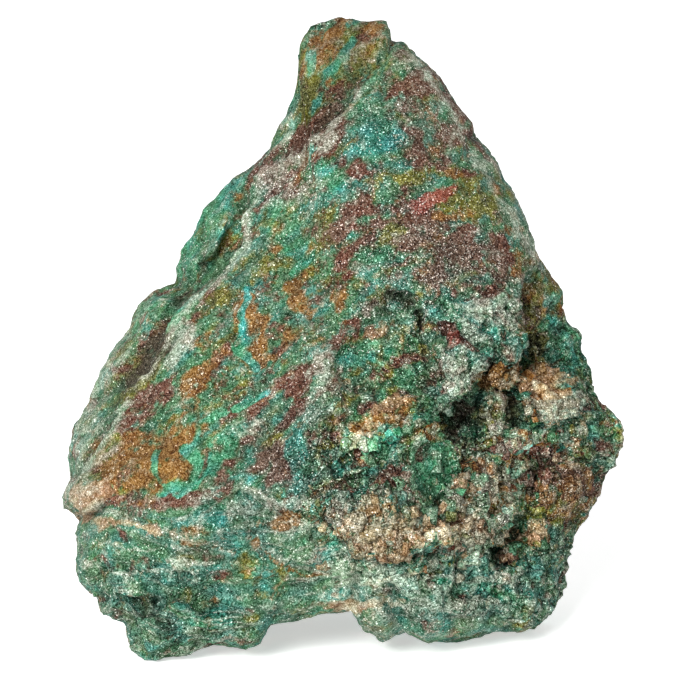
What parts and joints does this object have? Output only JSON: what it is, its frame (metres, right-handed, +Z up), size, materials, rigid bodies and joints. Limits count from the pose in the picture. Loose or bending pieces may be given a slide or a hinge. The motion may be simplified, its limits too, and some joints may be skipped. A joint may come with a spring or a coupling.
{
  "type": "rough african turquoise stone",
  "caption": "Rough unpolished block of green and brown jasper, sold as African turquoise, with a tapered tip, a broad sloping face, broken ledges and feet it rests on.",
  "frame": {"origin": "centre of the stone's box in plan, on the surface it rests on", "axes": "+Z up towards the tip, -Y out of the broad worked-out face, +X to the right seen from that face"},
  "size_m": [0.0613, 0.045, 0.0657],
  "materials": {
    "stone": "rough broken surface, matte with small sugary quartz grains"
  },
  "bodies": {
    "root": {"stone": "stone"}
  },
  "joints": []
}
